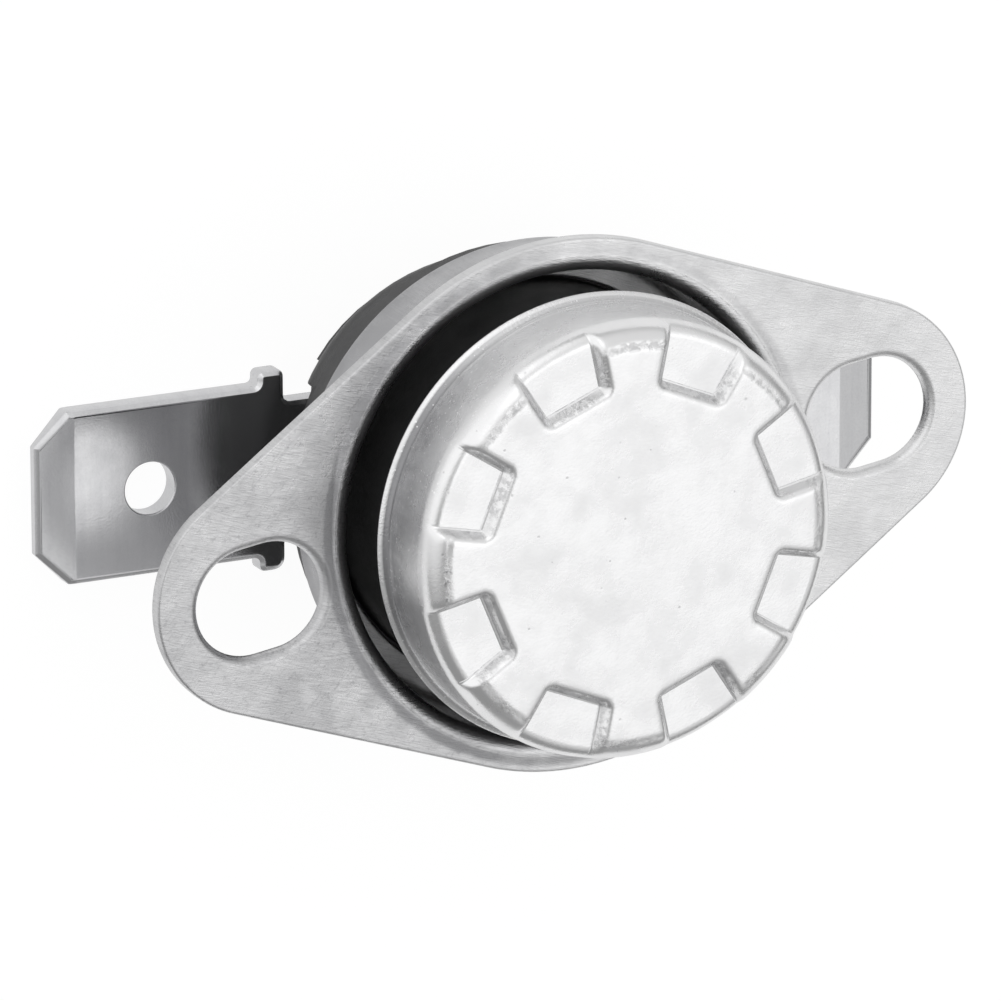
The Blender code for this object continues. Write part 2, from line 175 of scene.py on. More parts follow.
def blend(tree, low, high, mask):
    mixed = addNode(tree, "ShaderNodeMix", data_type="RGBA", clamp_factor=False)
    mixed.inputs[6].default_value = (*low, 1.0)
    mixed.inputs[7].default_value = (*high, 1.0)
    tree.links.new(mask, mixed.inputs[0])
    return mixed.outputs[2]


def between(tree, mask, low, high):
    node = addNode(tree, "ShaderNodeMapRange", {"Value": mask, "To Min": low, "To Max": high})
    return node.outputs[0]


def ramp(tree, value, start, end):
    inputs = {"Value": value, "From Min": start, "From Max": end}
    return addNode(tree, "ShaderNodeMapRange", inputs, interpolation_type="SMOOTHSTEP").outputs[0]


def product(tree, first, second):
    return addNode(tree, "ShaderNodeMath", {0: first, 1: second}, operation="MULTIPLY").outputs[0]


def total(tree, first, second):
    return addNode(tree, "ShaderNodeMath", {0: first, 1: second}, operation="ADD").outputs[0]


def larger(tree, first, second):
    return addNode(tree, "ShaderNodeMath", {0: first, 1: second}, operation="MAXIMUM").outputs[0]


def oneOver(tree, value):
    return addNode(tree, "ShaderNodeMath", {0: 1.0, 1: value}, operation="DIVIDE").outputs[0]


def vectorMath(tree, kind, *terms):
    return addNode(tree, "ShaderNodeVectorMath", dict(enumerate(terms)), operation=kind)


# Rises smoothly from 0 at the first of two lengths to 1 at the second, both in millimetres
def zone(tree, value, limits):
    return ramp(tree, value, limits[0] * mm, limits[1] * mm)


def reliefNormal(tree, relief, height, **inputs):
    strength, depth = relief
    inputs.update(Strength=strength, Distance=depth * mm, Height=height)
    return addNode(tree, "ShaderNodeBump", inputs).outputs[0]


def linkFinish(tree, shader, colour, rough, normal):
    for value, socket in ((colour, "Base Color"), (rough, "Roughness"), (normal, "Normal")):
        tree.links.new(value, shader.inputs[socket])


# The point on the piece, in its own coordinates and in millimetres
def pointInMm(group):
    where = addNode(group, "ShaderNodeTexCoord")
    inMm = vectorMath(group, "SCALE", where.outputs["Object"])
    inMm.inputs["Scale"].default_value = 1.0 / mm
    return inMm.outputs[0]


# The mask runs from 0 to 1 between the group's Low and High
def sendMask(group, source, sink, value):
    limits = {"From Min": source.outputs["Low"], "From Max": source.outputs["High"]}
    ranged = addNode(group, "ShaderNodeMapRange", {"Value": value, **limits})
    group.links.new(ranged.outputs[0], sink.inputs["Mask"])


# Cloudy change over the surface, in patches of Size millimetres stretched by Stretch
def makeCloudGroup():
    inputs = [("Size", 1.0), ("Detail", 4.0), ("Low", 0.35), ("High", 0.65)]
    inputs.append(("Stretch", (1.0, 1.0, 1.0)))
    group, source, sink = newGroup("cloudy", inputs, ["Mask"])
    pulled = vectorMath(group, "MULTIPLY", pointInMm(group), source.outputs["Stretch"])
    looks = {"Detail": source.outputs["Detail"], "Roughness": 0.6}
    looks.update(Vector=pulled.outputs[0], Scale=oneOver(group, source.outputs["Size"]))
    noise = addNode(group, "ShaderNodeTexNoise", looks)
    sendMask(group, source, sink, noise.outputs[0])
    return group


# Fine parallel scratches in the sheet's plane, at Angle degrees
def makeScratchGroup():
    inputs = [("Angle", 0.0), ("Width", 0.03), ("Length", 2.0), ("Low", 0.45), ("High", 0.62)]
    group, source, sink = newGroup("scratches", inputs, ["Mask"])
    turn = addNode(group, "ShaderNodeMath", {0: source.outputs["Angle"]}, operation="RADIANS")
    turned = addNode(
        group, "ShaderNodeVectorRotate",
        {"Vector": pointInMm(group), "Angle": turn.outputs[0]}, rotation_type="Z_AXIS",
    )
    across = oneOver(group, source.outputs["Width"])
    along = oneOver(group, source.outputs["Length"])
    rates = addNode(group, "ShaderNodeCombineXYZ", {"X": along, "Y": across, "Z": along})
    pulled = vectorMath(group, "MULTIPLY", turned.outputs[0], rates.outputs[0])
    looks = {"Vector": pulled.outputs[0], "Scale": 1.0, "Detail": 3.0, "Roughness": 0.65}
    noise = addNode(group, "ShaderNodeTexNoise", looks)
    sendMask(group, source, sink, noise.outputs[0])
    return group


# Small scattered pits and specks
def makeSpeckGroup():
    inputs = [("Spacing", 0.6), ("Reach", 0.12)]
    group, source, sink = newGroup("specks", inputs, ["Mask"])
    looks = {"Vector": pointInMm(group), "Scale": oneOver(group, source.outputs["Spacing"])}
    cells = addNode(group, "ShaderNodeTexVoronoi", looks)
    chance = addNode(group, "ShaderNodeSeparateColor", {0: cells.outputs["Color"]})
    reach = product(group, source.outputs["Reach"], chance.outputs[0])
    limits = {"From Min": 0.0, "From Max": reach, "To Min": 1.0, "To Max": 0.0}
    near = addNode(group, "ShaderNodeMapRange", {"Value": cells.outputs["Distance"], **limits})
    group.links.new(near.outputs[0], sink.inputs["Mask"])
    return group


cloudy = makeCloudGroup()
scratches = makeScratchGroup()
specks = makeSpeckGroup()
print("shared node groups made")


# Sensing cap: pressed aluminium cup
cap = {
    "wallR": 7.85, "sheet": 0.35, "edgeR": 1.00, "faceZ": 15.06, "rimZ": 11.50,
    "rimOut": 0.30, "rimHeight": 0.34,
    # rows of the flared rim, as shares of rimOut and rimHeight
    "flareOutside": (
        (0.0, 1.0), (0.10, 0.80), (0.35, 0.62), (0.60, 0.50), (0.85, 0.38), (1.0, 0.24), (1.0, 0.12),
    ),
    "flareInside": ((0.60, 0.0), (0.2, 0.4), (0.0, 0.75)),
    "recessCount": 8, "recessFirstDeg": 22.5, "recessInner": 5.75, "recessHalfDeg": 10.5,
    "recessDepth": 0.45,
    # distance from the floor's edge and share of the height reached there
    "recessWall": (
        (0.0, 0.0), (0.015, 0.10), (0.07, 0.14), (0.085, 0.24), (0.17, 0.55),
        (0.24, 0.77), (0.32, 0.91), (0.42, 0.98), (0.52, 1.0),
    ),
    # distances from the floor's edge at which the mesh has a row
    "wallSteps": (
        0.015, 0.04, 0.07, 0.085, 0.10, 0.135, 0.17, 0.205, 0.24, 0.28, 0.32, 0.37, 0.42, 0.47, 0.54,
    ),
    "recessEdgeR": 0.55,
    "creaseR": 7.12, "creaseWide": 0.12, "creaseDeep": 0.030,
    "colour": (0.92, 0.92, 0.925), "dullColour": (0.20, 0.20, 0.21),
    "roughness": (0.20, 0.34), "relief": (0.35, 0.02),  # strength, depth in mm
    "sideShadeDeg": 158.0, "sideShadeSpread": (0.55, 0.97),  # painted shade on the wall is strongest on this side
    "pressedSlope": (0.93, 0.75),  # upright share of the normal on a recess's wall
    # finish zones in mm: where each starts, and where it is full
    "wallFromZ": (14.55, 14.10), "faceToR": (7.30, 7.15),
    "creaseFromR": (6.88, 7.00), "creaseFromZ": (14.80, 14.95), "nearRimZ": (14.2, 11.9),
    "flareFromR": (8.07, 7.99), "flareFootZ": (12.02, 11.84),
}


def wallShare(distance):
    points = cap["recessWall"]
    if distance <= 0.0:
        return 0.0
    for (near, low), (far, high) in zip(points, points[1:]):
        if distance < far:
            return low + (high - low) * (distance - near) / (far - near)
    return 1.0


# Height of a recess's floor, which rounds into the wall at its outer end
def recessHeight(radius):
    edgeR = cap["recessEdgeR"]
    past = max(0.0, radius - (cap["wallR"] - edgeR))
    return cap["faceZ"] - cap["edgeR"] + math.sqrt(max(0.0, edgeR ** 2 - past ** 2))


# The pressed edge round the face is uneven: its depth changes with the angle
def creaseDepth(radius, angle):
    a = math.radians(angle)
    broad = 0.25 * math.sin(9.0 * a + 0.7)
    fine = 0.25 * math.sin(23.0 * a + 2.1) * math.sin(5.0 * a)
    off = (radius - cap["creaseR"]) / cap["creaseWide"]
    return cap["creaseDeep"] * (0.5 + broad + fine) * math.exp(-off ** 2)


# How far the recess presses the surface down at a point: 0 on its floor, 1 outside it
def recessShare(radius, offDeg):
    half = cap["recessHalfDeg"]
    inner = max(0.0, cap["recessInner"] - radius * math.cos(math.radians(offDeg)))
    side = max(0.0, radius * math.sin(math.radians(abs(offDeg) - half)))
    return wallShare(math.hypot(inner, side))


def capAngles():
    half = cap["recessHalfDeg"]
    meanR = 6.6  # the recess side's middle, where its distances are turned into degrees
    steps = [0.0, 2.6, 5.2, 7.8, 9.6, 10.3, half]
    for distance in cap["wallSteps"]:
        steps.append(half + math.degrees(distance / meanR))
    steps += [16.4, 17.8, 19.3, 20.9]
    sector = [-v for v in reversed(steps[1:])] + steps + [22.5]
    angles = []
    for k in range(cap["recessCount"]):
        for off in sector:
            angles.append((cap["recessFirstDeg"] + 360.0 * k / cap["recessCount"] + off, off))
    return angles


# Rows of the outer surface: radius, height, and how far the row follows the recess's straight edge
def capRows():
    top = cap["faceZ"]
    tight = math.cos(math.radians(cap["recessHalfDeg"]))
    rows = [(r, top, 1.0) for r in (0.8, 1.6, 2.4, 3.2, 3.9, 4.5, 4.9, 5.15)]
    for distance in (*reversed(cap["wallSteps"]), 0.0):
        rows.append(((cap["recessInner"] - distance) / tight, top, 1.0))
    rows += [(6.1, top, 0.7), (6.4, top, 0.35), (6.7, top, 0.1)]
    edgeR = cap["edgeR"]
    centreR, centreZ = cap["wallR"] - edgeR, top - edgeR
    leans = [90, 87, 84, 81, 78.5, 76, 73.5, 71, 68.5, 66, 63.5, 61.5, 59, 56, 53, 50, 47, 44, 41, 38]
    leans += [35, 32, 29, 26, 23, 20, 17, 14, 11, 8, 5, 2.5, 0]
    for lean in leans:
        a = math.radians(lean)
        rows.append((centreR + edgeR * math.cos(a), centreZ + edgeR * math.sin(a), 0.0))
    return rows


def makeCapMesh():
    made = bmesh.new()
    angles = capAngles()
    tight = math.cos(math.radians(cap["recessHalfDeg"]))
    middle = made.verts.new(placed(0.0, 0.0, cap["faceZ"]))
    last = None
    for radius, height, follow in capRows():
        points = []
        for angle, off in angles:
            held = min(abs(off), cap["recessHalfDeg"])
            r = radius * (1.0 - follow * (1.0 - tight / math.cos(math.radians(held))))
            share = recessShare(r, off)
            z = height - creaseDepth(r, angle) * share
            floor = recessHeight(r)
            z = min(z, floor + (z - floor) * share)
            a = math.radians(angle)
            points.append((r * math.cos(a), r * math.sin(a), z))
        row = addRow(made, points, bodyTurn)
        if last is None:
            for k in range(len(row)):
                made.faces.new((middle, row[k], row[(k + 1) % len(row)]))
        else:
            joinRows(made, last, row)
        last = row
    addCapSkirt(made, last, angles)
    return made


# The wall, its flared rim and the inside, which stays below the recesses' floors
def addCapSkirt(made, last, angles):
    wallR, rimOut, rimZ, rimHeight = cap["wallR"], cap["rimOut"], cap["rimZ"], cap["rimHeight"]
    insideR = wallR - cap["sheet"]
    edgeZ = cap["faceZ"] - cap["edgeR"]
    startZ = rimZ + rimHeight
    profile = [(wallR, edgeZ + (startZ - edgeZ) * k / 8) for k in range(1, 8)]
    profile += [(wallR + out * rimOut, rimZ + up * rimHeight) for out, up in cap["flareOutside"]]
    profile += [(wallR + 0.92 * rimOut, rimZ + 0.02), (wallR + 0.75 * rimOut, rimZ)]
    profile += [(insideR + out * rimOut, rimZ + up * rimHeight) for out, up in cap["flareInside"]]
    profile += [(insideR, edgeZ - 0.15), (insideR - 0.10, edgeZ + 0.05)]
    floorZ = cap["faceZ"] - cap["recessDepth"] - cap["sheet"]
    profile += [(insideR - 0.35, floorZ), (5.2, floorZ), (4.8, cap["faceZ"] - cap["sheet"])]
    ways = [(math.cos(math.radians(a)), math.sin(math.radians(a))) for a, off in angles]
    for radius, height in profile:
        row = addRow(made, [(radius * c, radius * s, height) for c, s in ways], bodyTurn)
        joinRows(made, last, row)
        last = row
    middle = made.verts.new(placed(0.0, 0.0, cap["faceZ"] - cap["sheet"]))
    for k in range(len(last)):
        made.faces.new((middle, last[(k + 1) % len(last)], last[k]))


def capFinish():
    material, tree, shader = newMaterial("pressedAluminium", 1.0)
    patches = place(tree, cloudy, Size=1.6, Detail=5.0, Low=0.38, High=0.66)
    peel = place(tree, cloudy, Size=0.10, Detail=4.0, Low=0.3, High=0.7)
    crushed = place(tree, cloudy, Size=0.22, Detail=8.0, Low=0.44, High=0.58)
    broken = place(tree, cloudy, Size=1.3, Detail=2.0, Low=0.40, High=0.58)
    drawn = place(tree, cloudy, Size=0.60, Detail=5.0, Low=0.26, High=0.74, Stretch=(1.0, 1.0, 0.60))
    pits = place(tree, specks, Spacing=0.7, Reach=0.11)
    nicks = place(tree, specks, Spacing=0.17, Reach=0.26)
    # Height, distance from the axis and slope say which zone of the cup a point is in
    where = addNode(tree, "ShaderNodeTexCoord")
    z = addNode(tree, "ShaderNodeSeparateXYZ", {0: where.outputs["Object"]}).outputs["Z"]
    flat = vectorMath(tree, "MULTIPLY", where.outputs["Object"], (1.0, 1.0, 0.0)).outputs[0]
    reach = vectorMath(tree, "LENGTH", flat).outputs["Value"]
    surface = addNode(tree, "ShaderNodeNewGeometry")
    slope = addNode(tree, "ShaderNodeSeparateXYZ", {0: surface.outputs["Normal"]}).outputs["Z"]
    wall = zone(tree, z, cap["wallFromZ"])
    # painted shade: the side of the cup that faces this way is darkened
    sideShadeAngle = math.radians(cap["sideShadeDeg"])
    sideShadeWay = Vector((math.cos(sideShadeAngle), math.sin(sideShadeAngle), 0.0))
    outward = vectorMath(tree, "NORMALIZE", flat).outputs[0]
    facing = vectorMath(tree, "DOT_PRODUCT", outward, sideShadeWay).outputs["Value"]
    sideShade = ramp(tree, facing, *cap["sideShadeSpread"])
    # The sheet is crushed on the recesses' walls and along the crease between them; the crease's marks
    # are partly painted shade, stronger on the shaded side
    inside = zone(tree, reach, cap["faceToR"])
    pressed = product(tree, inside, ramp(tree, slope, *cap["pressedSlope"]))
    pressed = product(tree, pressed, product(tree, broken.outputs[0], 0.50))
    crease = product(tree, inside, zone(tree, reach, cap["creaseFromR"]))
    crease = product(tree, crease, zone(tree, z, cap["creaseFromZ"]))
    # painted shade: the crease's marks grow towards the shaded side
    uneven = product(tree, broken.outputs[0], between(tree, sideShade, 0.45, 1.0))
    crushAndShade = larger(tree, pressed, product(tree, crease, uneven))
    crushAndShadeMarks = product(tree, crushAndShade, crushed.outputs[0])
    # Painted shade on the wall, stronger towards the rim and on one side, broken up by drawn streaks
    nearRim = between(tree, zone(tree, z, cap["nearRimZ"]), 0.40, 0.95)
    # painted shade on the wall, made streaky by the drawn marks
    wallStreaksAndShade = product(tree, between(tree, drawn.outputs[0], 0.45, 0.78), nearRim)
    wallStreaksAndShade = product(tree, wall, product(tree, wallStreaksAndShade, between(tree, sideShade, 0.10, 1.0)))
    dull = total(tree, wallStreaksAndShade, product(tree, crushAndShadeMarks, 0.75))
    dull = total(tree, dull, product(tree, patches.outputs[0], between(tree, wall, 0.03, 0.10)))
    dull = larger(tree, dull, product(tree, pits.outputs[0], 0.45))
    # A painted dark line of shade at the flare's foot, stronger on the shaded side; outside it the
    # painted darkening is mostly cleared, so the flare's edge stays bright
    flare = zone(tree, reach, cap["flareFromR"])
    # painted shade in the corner at the flare's foot
    footShade = product(tree, flare, zone(tree, z, cap["flareFootZ"]))
    dull = larger(tree, dull, product(tree, footShade, between(tree, sideShade, 0.30, 0.85)))
    dull = product(tree, dull, between(tree, flare, 0.10, 1.0))
    bare = {0: dull, 1: product(tree, nicks.outputs[0], wall)}
    dull = addNode(tree, "ShaderNodeMath", bare, operation="SUBTRACT", use_clamp=True).outputs[0]
    height = product(tree, peel.outputs[0], between(tree, wall, 0.34, 0.9))
    height = total(tree, height, product(tree, crushAndShadeMarks, 3.0))
    height = total(tree, height, product(tree, nicks.outputs[0], between(tree, wall, 0.0, 1.2)))
    pitted = {0: height, 1: pits.outputs[0]}
    height = addNode(tree, "ShaderNodeMath", pitted, operation="SUBTRACT").outputs[0]
    linkFinish(
        tree, shader, blend(tree, cap["colour"], cap["dullColour"], dull),
        between(tree, patches.outputs[0], *cap["roughness"]), reliefNormal(tree, cap["relief"], height),
    )
    return material


finishPiece("capShell", makeCapMesh(), capFinish(), "body", "sensing_cap")
print("cap made")


# Loose bracket: plate, rolled opening, drawn collar and turned-in ring in one sheet
bracket = {
    "plateZ": 9.90, "sheet": 0.50, "earX": 11.58, "earR": 4.22, "waistR": 9.64,
    "slotX": 11.90, "slotR": 1.94, "slotHalf": 0.43,
    "collarInR": 8.40, "collarSheet": 0.45, "collarZ": 5.90, "rollR": 0.55,
    "beadHigh": 0.07, "beadWide": (0.15, 0.50), "beadEarDeg": 26.0,  # the bead narrows beside the slots
    "floorR": 0.40, "cornerR": 0.70, "ringHoleR": 7.40,
    # rounding of the slots' rims and of the plate's edge: step into the sheet, drop from the face
    "rim": (
        (0.30, 0.0), (0.24, 0.012), (0.17, 0.045), (0.10, 0.10),
        (0.045, 0.17), (0.012, 0.25), (0.0, 0.33),
    ),
    "edge": ((0.09, 0.0), (0.06, 0.008), (0.03, 0.026), (0.009, 0.055), (0.0, 0.09)),
    "colour": (0.83, 0.83, 0.835), "dullColour": (0.52, 0.52, 0.53),
    "roughness": (0.26, 0.40), "ringRoughness": 0.16, "relief": (0.28, 0.015),  # strength, depth in mm
    "mostDull": 1.3,  # past 1 the colour is darker than dullColour
    # finish zones in mm: where each starts, and where it is full
    "handledX": (2.0, -8.0),
    "wallBelowZ": (9.42, 9.25), "wallFromR": (8.60, 8.70), "ringBelowZ": (7.4, 6.6),
    "footToR": (9.50, 9.28), "footFromR": (8.98, 9.12), "footFromZ": (9.80, 9.88),
}


def plateOutline(grow):
    lean = math.acos((bracket["waistR"] - bracket["earR"]) / bracket["earX"])
    points = []
    for centre, radius, start, end, steps in (
        (bracket["earX"], bracket["earR"], -lean, lean, 56),
        (0.0, bracket["waistR"], lean, math.pi - lean, 40),
        (-bracket["earX"], bracket["earR"], math.pi - lean, math.pi + lean, 56),
        (0.0, bracket["waistR"], math.pi + lean, 2 * math.pi - lean, 40),
    ):
        for k in range(steps + 1):
            a = start + (end - start) * k / steps
            points.append((centre + (radius + grow) * math.cos(a), (radius + grow) * math.sin(a)))
    return points


def slotOutline(centre, grow):
    points = []
    for side, start in ((1, -90.0), (-1, 90.0)):
        for k in range(33):
            a = math.radians(start + 180.0 * k / 32)
            x = centre + side * bracket["slotHalf"] + (bracket["slotR"] + grow) * math.cos(a)
            points.append((x, (bracket["slotR"] + grow) * math.sin(a)))
    return points


def raised(outline, z):
    return [(x, y, z) for x, y in outline]


# Rows down one rim of a sheet: rounded above and below, with a narrow flat row beside the face
def rimStack(outlineAt, high, low, edge, way):
    inset = edge[0][0]
    margin, small = 0.04, 0.35  # width of the flat row, and share of the rounding below
    rows = [(inset + margin, high)] + [(step, high - drop) for step, drop in edge]
    rows += [(step * small, low + drop * small) for step, drop in reversed(edge)]
    rows += [(inset * small + margin, low)]
    return [raised(outlineAt(way * step), z) for step, z in rows]


# The lip stands up a little before it rolls down; beside the slots there is less room for it
def beadWidth(angle):
    low, high = bracket["beadWide"]
    off = math.degrees(math.asin(abs(math.sin(angle))))
    return high - (high - low) * math.exp(-(off / bracket["beadEarDeg"]) ** 4)


# From the lip down the collar's inside, round the turned-in ring and up its outside
def openingProfile(wide):
    high, sheet, rollR = bracket["plateZ"], bracket["sheet"], bracket["rollR"]
    inR, outR = bracket["collarInR"], bracket["collarInR"] + bracket["collarSheet"]
    floorR, cornerR, holeR = bracket["floorR"], bracket["cornerR"], bracket["ringHoleR"]
    bottom = bracket["collarZ"]
    shelf = bottom + bracket["collarSheet"]
    holeEdge, underR = 0.08, 0.20  # roundings at the ring's hole and under the plate
    rise = bracket["beadHigh"] * wide / bracket["beadWide"][1]
    profile = [(inR + rollR + wide + 0.02, high)]
    for k in range(9):
        t = k / 8
        profile.append((inR + rollR + wide * (1 - t), high + rise * t * t * (3 - 2 * t)))
    profile += arcPoints(inR + rollR, high + rise - rollR, rollR, 85, 180, 18)
    profile += arcPoints(inR - floorR, shelf + floorR, floorR, 0, -90, 12)
    profile += [(inR - floorR - 0.05, shelf), (holeR + 0.12, shelf)]
    profile += arcPoints(holeR + holeEdge, shelf - holeEdge, holeEdge, 90, 180, 4)
    profile += arcPoints(holeR + holeEdge, bottom + holeEdge, holeEdge, 180, 270, 4)
    profile += [(outR - cornerR - 0.05, bottom)]
    profile += arcPoints(outR - cornerR, bottom + cornerR, cornerR, -90, 0, 14)
    profile += arcPoints(outR + underR, high - sheet - underR, underR, 180, 90, 8)
    return profile + [(outR + 0.24, high - sheet)]


def openingStack():
    count = 192
    angles = [2 * math.pi * k / count for k in range(count)]
    columns = []
    for a in angles:
        profile = openingProfile(beadWidth(a))
        columns.append([(r * math.cos(a), r * math.sin(a), z) for r, z in profile])
    return [list(row) for row in zip(*columns)]


def makeBracketMesh():
    made = bmesh.new()
    high, low = bracket["plateZ"], bracket["plateZ"] - bracket["sheet"]
    stacks = [rimStack(plateOutline, high, low, bracket["edge"], -1.0), openingStack()]
    for centre in (bracket["slotX"], -bracket["slotX"]):
        outlineAt = partial(slotOutline, centre)
        stacks.append(rimStack(outlineAt, high, low, bracket["rim"], 1.0))
    closedSheet(made, stacks)
    return made


def bracketFinish():
    material, tree, shader = newMaterial("brushedPlate", 1.0)
    patches = place(tree, cloudy, Size=2.2, Detail=6.0, Low=0.40, High=0.64)
    grain = place(tree, cloudy, Size=0.09, Detail=4.0, Low=0.35, High=0.65)
    stains = place(tree, cloudy, Size=0.22, Detail=6.0, Low=0.56, High=0.68)
    first = place(tree, scratches, Angle=28.0, Width=0.05, Length=0.9, Low=0.47, High=0.62)
    second = place(tree, scratches, Angle=12.0, Width=0.045, Length=2.4, Low=0.52, High=0.66)
    third = place(tree, scratches, Angle=-38.0, Width=0.05, Length=0.8, Low=0.57, High=0.68)
    lines = product(tree, first.outputs[0], 0.7)
    for hatch, share in ((second, 0.6), (third, 0.5)):
        lines = total(tree, lines, product(tree, hatch.outputs[0], share))
    # The left ear is the more handled one
    where = addNode(tree, "ShaderNodeTexCoord")
    side = addNode(tree, "ShaderNodeSeparateXYZ", {0: where.outputs["Object"]})
    z = side.outputs["Z"]
    handled = zone(tree, side.outputs["X"], bracket["handledX"])
    cloud = product(tree, patches.outputs[0], between(tree, handled, 0.15, 0.26))
    dull = total(tree, cloud, product(tree, handled, 0.42))
    dull = total(tree, dull, product(tree, lines, between(tree, handled, 0.06, 0.26)))
    dull = total(tree, dull, product(tree, stains.outputs[0], between(tree, handled, 0.0, 0.40)))
    # Painted shade on the drawn side wall under the plate, and on the outer foot of the raised lip
    flat = vectorMath(tree, "MULTIPLY", where.outputs["Object"], (1.0, 1.0, 0.0))
    reach = vectorMath(tree, "LENGTH", flat.outputs[0]).outputs["Value"]
    collarWallShade = zone(tree, z, bracket["wallBelowZ"])
    collarWallShade = product(tree, collarWallShade, zone(tree, reach, bracket["wallFromR"]))
    # painted shade along the outer foot of the raised lip, patchy and stronger on the left ear
    footShade = product(tree, zone(tree, reach, bracket["footToR"]), zone(tree, reach, bracket["footFromR"]))
    footShade = product(tree, footShade, zone(tree, z, bracket["footFromZ"]))
    footShade = product(tree, footShade, between(tree, patches.outputs[0], 0.55, 1.0))
    footShade = product(tree, footShade, between(tree, handled, 0.45, 1.1))
    dull = total(tree, dull, total(tree, product(tree, collarWallShade, 0.85), footShade))
    limit = {0: dull, 1: bracket["mostDull"]}
    dull = addNode(tree, "ShaderNodeMath", limit, operation="MINIMUM").outputs[0]
    deep = zone(tree, z, bracket["ringBelowZ"])  # the turned-in ring is matt
    rough = between(tree, patches.outputs[0], *bracket["roughness"])
    rough = total(tree, rough, product(tree, deep, bracket["ringRoughness"]))
    height = total(tree, lines, product(tree, grain.outputs[0], 0.5))
    linkFinish(
        tree, shader, blend(tree, bracket["colour"], bracket["dullColour"], dull),
        rough, reliefNormal(tree, bracket["relief"], height),
    )
    return material


finishPiece(
    "bracketSheet", makeBracketMesh(), bracketFinish(), "bracket", "mounting_bracket",
)
print("bracket made")


# Blade terminals
blade = {
    "width": 6.30, "high": 1.42, "low": 0.62, "tipX": 16.50, "tipCutX": 1.20, "tipCutY": 1.20,
    "tipBevelLength": 1.45, "tipBevelDrop": 0.22,
    "shoulderX": 7.00, "shoulderLength": 1.00, "shoulderOut": 0.52,
    "shoulderRound": (0.28, 0.48),  # corners towards the root, one for each shoulder
    "rootHalf": 2.50, "rootX": 2.20,
    "holeX": 12.20, "holeR": 0.95, "rivetX": 3.70, "rivetHoleR": 1.00,
    "edge": ((0.20, 0.0), (0.17, 0.006), (0.10, 0.05), (0.03, 0.10), (0.01, 0.13), (0.0, 0.17)),
    "holeEdge": ((0.05, 0.0), (0.025, 0.012), (0.0, 0.05)),
    "colour": (0.76, 0.76, 0.77), "dullColour": (0.56, 0.56, 0.58),
    "roughness": (0.17, 0.22), "relief": (0.10, 0.008),  # strength, depth in mm
}


# Outline from corner points, each rounded with its own radius
def roundedOutline(corners, steps=6):
    points = []
    count = len(corners)
    for k, (x, y, radius) in enumerate(corners):
        here = Vector((x, y))
        before = Vector(corners[k - 1][:2]) - here
        after = Vector(corners[(k + 1) % count][:2]) - here
        if radius <= 0.0:
            points.append((x, y))
            continue
        half = 0.5 * before.angle(after)
        reach = min(radius / math.tan(half), 0.49 * before.length, 0.49 * after.length)
        start = here + before.normalized() * reach
        end = here + after.normalized() * reach
        for step in range(steps + 1):
            t = step / steps
            spot = start * (1 - t) ** 2 + here * 2 * t * (1 - t) + end * t ** 2
            points.append((spot.x, spot.y))
    return points


def bladeOutline(grow):
    half = 0.5 * blade["width"]
    out = half + blade["shoulderOut"]
    x0, x1 = blade["shoulderX"], blade["shoulderX"] + blade["shoulderLength"]
    tip = blade["tipX"]
    first, second = blade["shoulderRound"]
    upper = [
        (blade["rootX"], blade["rootHalf"], 0.4), (x0, blade["rootHalf"], 0.25), (x0, out, first),
        (x1, out, 0.32), (x1, half, 0.22),
        (tip - blade["tipCutX"], half, 0.10), (tip, half - blade["tipCutY"], 0.10),
    ]
    corners = [(x, -y, r) for x, y, r in reversed(upper)] + upper
    corners[len(upper) + 2] = (x0, out, second)
    return offsetOutline(roundedOutline(corners), grow)


# Moves every point of an outline sideways, along its own normal
def offsetOutline(points, grow):
    if grow == 0.0:
        return points
    moved = []
    count = len(points)
    for k, (x, y) in enumerate(points):
        x1, y1 = points[k - 1]
        x2, y2 = points[(k + 1) % count]
        first = Vector((x - x1, y - y1)).normalized()
        second = Vector((x2 - x, y2 - y)).normalized()
        lean = (first + second).normalized()
        side = Vector((lean.y, -lean.x))
        stretch = max(0.5, side.dot(Vector((first.y, -first.x))))
        moved.append((x + side.x * grow / stretch, y + side.y * grow / stretch))
    return moved


def holeOutline(centreX, radius, grow):
    points = []
    count = 64
    for k in range(count):
        a = 2 * math.pi * k / count
        points.append((centreX + (radius + grow) * math.cos(a), (radius + grow) * math.sin(a)))
    return points


# 1 for an outline that runs anticlockwise
def outlineWay(points):
    area = 0.0
    for (x1, y1), (x2, y2) in zip(points, points[1:] + points[:1]):
        area += x1 * y2 - x2 * y1
    return 1.0 if area > 0 else -1.0


def makeBladeMesh(turn):
    made = bmesh.new()
    high, low = blade["high"], blade["low"]
    way = outlineWay(bladeOutline(0.0))
    stacks = [rimStack(bladeOutline, high, low, blade["edge"], -way)]
    for x, radius in ((blade["holeX"], blade["holeR"]), (blade["rivetX"], blade["rivetHoleR"])):
        outlineAt = partial(holeOutline, x, radius)
        stacks.append(rimStack(outlineAt, high, low, blade["holeEdge"], 1.0))
    closedSheet(made, stacks)
    bevelTip(made)
    for vert in made.verts:
        x, y, z = vert.co
        vert.co = placed(x / mm, y / mm, z / mm, turn)
    return made


# The tip is thinned on both faces from one straight line on
def bevelTip(made):
    start = blade["tipX"] - blade["tipBevelLength"]
    for line in (start, start + 0.03, start - 0.03):
        geometry = made.verts[:] + made.edges[:] + made.faces[:]
        at = (line * mm, 0, 0)
        bmesh.ops.bisect_plane(made, geom=geometry, plane_co=at, plane_no=(1, 0, 0), dist=1e-8)
    middle = 0.5 * (blade["high"] + blade["low"])
    slope = blade["tipBevelDrop"] / blade["tipBevelLength"]
    half = 0.5 * (blade["high"] - blade["low"])
    for vert in made.verts:
        past = vert.co.x / mm - start
        if past > 0.0:
            z = vert.co.z / mm - middle
            vert.co.z = (middle + z * (1.0 - slope * past / half)) * mm


